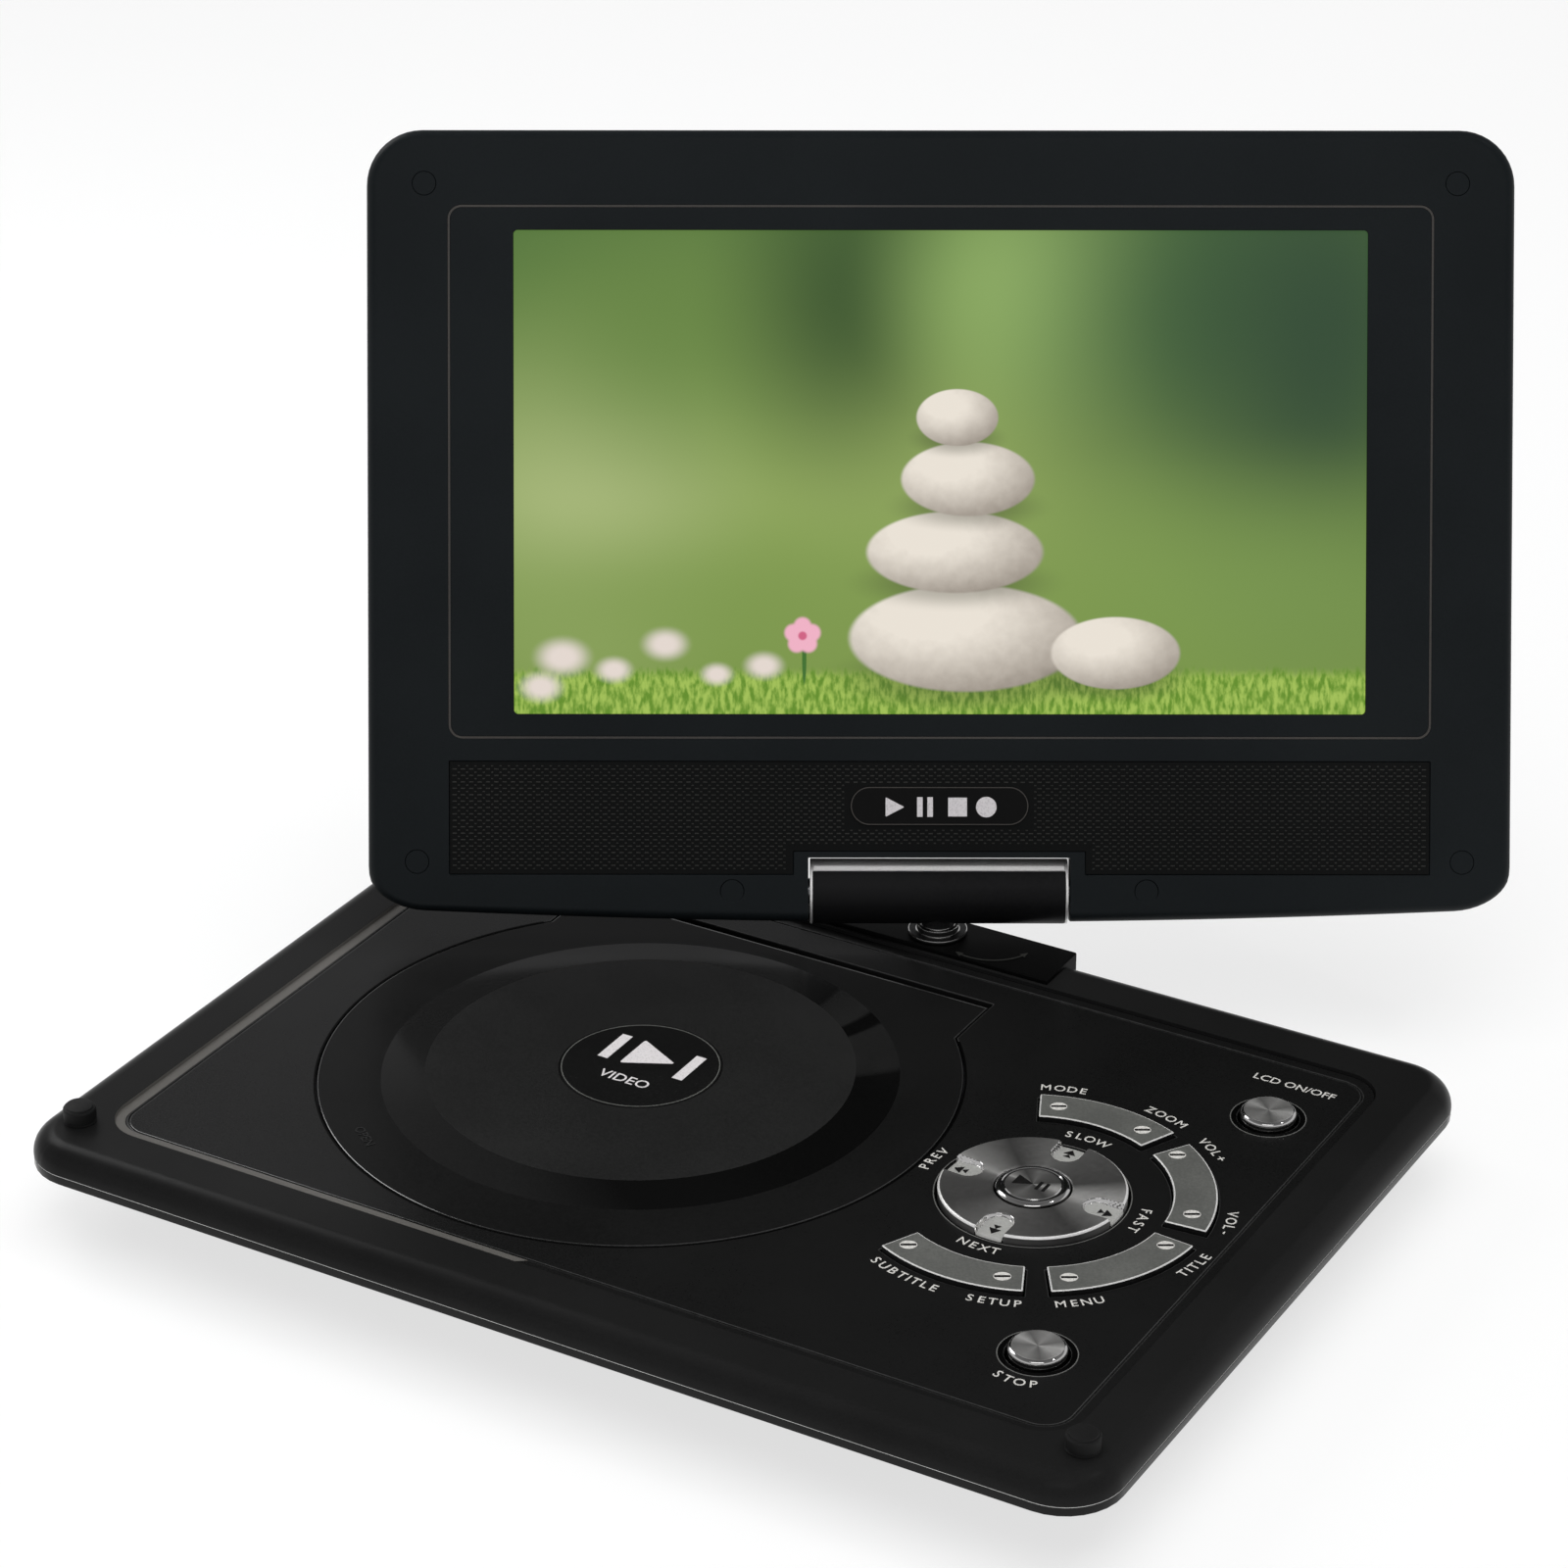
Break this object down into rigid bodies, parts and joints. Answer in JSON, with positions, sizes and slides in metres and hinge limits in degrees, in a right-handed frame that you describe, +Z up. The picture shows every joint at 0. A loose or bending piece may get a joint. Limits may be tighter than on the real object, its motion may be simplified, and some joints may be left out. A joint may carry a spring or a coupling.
{
  "type": "portable dvd player",
  "caption": "Flat battery disc player with a round-fronted disc door, a ring of metal control keys and a widescreen lid that swivels and tilts on a centre hinge.",
  "frame": {"origin": "middle of the base outline on the surface it stands on", "axes": "+Z up, +X to the user's right, +Y towards the hinge at the back"},
  "size_m": [0.2859, 0.3147, 0.2002],
  "materials": {
    "black_satin": "satin black moulded ABS",
    "black_gloss": "polished black plastic",
    "lid_black": "satin blue-black moulded plastic",
    "grille_black": "perforated black sheet",
    "rubber_black": "soft matt rubber",
    "screw_steel": "zinc plated steel",
    "chassis_grey": "dark grey moulded chassis",
    "machine_steel": "ground steel",
    "motor_steel": "drawn steel can",
    "screw_brass": "turned brass",
    "lens_glass": "coated objective lens",
    "latch_nylon": "natural nylon",
    "board_green": "solder mask on glass fibre",
    "cell_blue": "heat-shrink sleeve",
    "shell_steel": "tinned steel shell",
    "jack_black": "moulded nylon",
    "jack_yellow": "moulded nylon, yellow",
    "hub_white": "moulded acetal",
    "key_metal": "spun bright aluminium",
    "chrome": "polished chrome plate",
    "screen_glass": "lit picture behind a clear front film",
    "sheet_white": "white diffuser film",
    "speaker_black": "speaker frame and paper cone"
  },
  "bodies": {
    "base": {"top_cover": "black_satin", "bottom_cover": "black_satin", "hinge_platform": "black_satin", "rubber_bumpers": "rubber_black", "rubber_feet": "rubber_black", "base_screws": "screw_steel", "disc_tray": "chassis_grey", "spindle_motor": "motor_steel", "sled_rails": "machine_steel", "sled_motor": "motor_steel", "door_latch": "latch_nylon", "main_board": "board_green", "key_board": "board_green", "tact_switches": "shell_steel", "battery_pack": "cell_blue", "usb_socket": "shell_steel", "card_slot": "shell_steel", "headphone_jack": "jack_black", "av_jack": "jack_yellow", "dc_jack": "jack_black", "power_switch_body": "jack_black"},
    "lead_screw": {"lead_screw": "screw_brass"},
    "pickup": {"optical_pickup": "chassis_grey", "pickup_lens": "lens_glass"},
    "power_switch": {"power_switch_knob": "black_satin"},
    "door": {"disc_door": "black_satin", "door_medallion": "black_gloss"},
    "spindle": {"turntable": "hub_white", "turntable_mat": "rubber_black"},
    "wheel_carrier": {"wheel_carrier": "chassis_grey"},
    "wheel": {"nav_wheel": "key_metal"},
    "play": {"play_button": "key_metal"},
    "mode": {"mode_key": "key_metal"},
    "volume": {"volume_key": "key_metal"},
    "menu": {"menu_key": "key_metal"},
    "setup": {"setup_key": "key_metal"},
    "stop": {"stop_button": "key_metal"},
    "screen": {"screen_button": "key_metal"},
    "swivel": {"swivel_post": "machine_steel", "swivel_washer": "machine_steel", "hinge_barrel": "chrome", "hinge_cover": "black_gloss", "tilt_shafts": "machine_steel"},
    "lid": {"lid_bezel": "lid_black", "lid_back_cover": "lid_black", "hinge_brackets": "machine_steel", "lcd_panel": "screen_glass", "backlight": "sheet_white", "lid_board": "board_green", "speakers": "speaker_black", "speaker_grille": "grille_black", "badge_plate": "lid_black", "lid_screws": "screw_steel", "screw_covers": "lid_black"}
  },
  "joints": [
    {"name": "lid_swivel", "type": "hinge", "parent": "base", "child": "swivel", "pos_m": [0, 0.0883, 0.037], "axis": [0, 0, -1], "range_deg": [-150, 30]},
    {"name": "lid_tilt", "type": "hinge", "parent": "swivel", "child": "lid", "pos_m": [0, 0.0883, 0.037], "axis": [-0.866, -0.5, 0], "range_deg": [-115, 65]},
    {"name": "door_hinge", "type": "hinge", "parent": "base", "child": "door", "pos_m": [-0.02906, 0.0648, 0.0215], "axis": [-1, 0, 0], "range_deg": [0, 8]},
    {"name": "spindle_turn", "type": "hinge", "parent": "base", "child": "spindle", "pos_m": [-0.02906, 0.0017, 0.0184], "axis": [0, 0, 1], "continuous": true},
    {"name": "sled_slide", "type": "slide", "parent": "base", "child": "pickup", "axis": [0, -1, 0], "range_m": [0, 0.0345]},
    {"name": "lead_screw_turn", "type": "hinge", "parent": "base", "child": "lead_screw", "pos_m": [-0.00606, -0.0383, 0.009], "axis": [0, -1, 0], "range_deg": [0, 4140]},
    {"name": "power_slide", "type": "slide", "parent": "base", "child": "power_switch", "axis": [0, 1, 0], "range_m": [0, 0.003]},
    {"name": "wheel_left_right", "type": "hinge", "parent": "base", "child": "wheel_carrier", "pos_m": [0.0713, -0.0002, 0.0215], "axis": [0, 1, 0], "range_deg": [-2.5, 2.5], "stiffness_Nm_per_rad": 0.9},
    {"name": "wheel_up_down", "type": "hinge", "parent": "wheel_carrier", "child": "wheel", "pos_m": [0.0713, -0.0002, 0.0215], "axis": [1, 0, 0], "range_deg": [-2.5, 2.5], "stiffness_Nm_per_rad": 0.9},
    {"name": "play_press", "type": "slide", "parent": "base", "child": "play", "axis": [0, 0, -1], "range_m": [0, 0.0007], "stiffness_N_per_m": 2500},
    {"name": "mode_rock", "type": "hinge", "parent": "base", "child": "mode", "pos_m": [0.071, 0.0348, 0.0215], "axis": [-0.0087, 1, 0], "range_deg": [-2.5, 2.5], "stiffness_Nm_per_rad": 0.6},
    {"name": "volume_rock", "type": "hinge", "parent": "base", "child": "volume", "pos_m": [0.10114, 0.01809, 0.0215], "axis": [0.8526, 0.5225, 0], "range_deg": [-2.5, 2.5], "stiffness_Nm_per_rad": 0.6},
    {"name": "menu_rock", "type": "hinge", "parent": "base", "child": "menu", "pos_m": [0.10146, -0.01796, 0.0215], "axis": [0.8616, -0.5075, 0], "range_deg": [-2.5, 2.5], "stiffness_Nm_per_rad": 0.6},
    {"name": "setup_rock", "type": "hinge", "parent": "base", "child": "setup", "pos_m": [0.07084, -0.0352, 0.0215], "axis": [-0.0131, -0.9999, 0], "range_deg": [-2.5, 2.5], "stiffness_Nm_per_rad": 0.6},
    {"name": "stop_press", "type": "slide", "parent": "base", "child": "stop", "axis": [0, 0, -1], "range_m": [0, 0.0008], "stiffness_N_per_m": 2500},
    {"name": "screen_press", "type": "slide", "parent": "base", "child": "screen", "axis": [0, 0, -1], "range_m": [0, 0.0008], "stiffness_N_per_m": 2500}
  ],
  "couplings": [
    {"joint": "lead_screw_turn", "follows": "sled_slide", "rad_per_m": 2094.4}
  ]
}
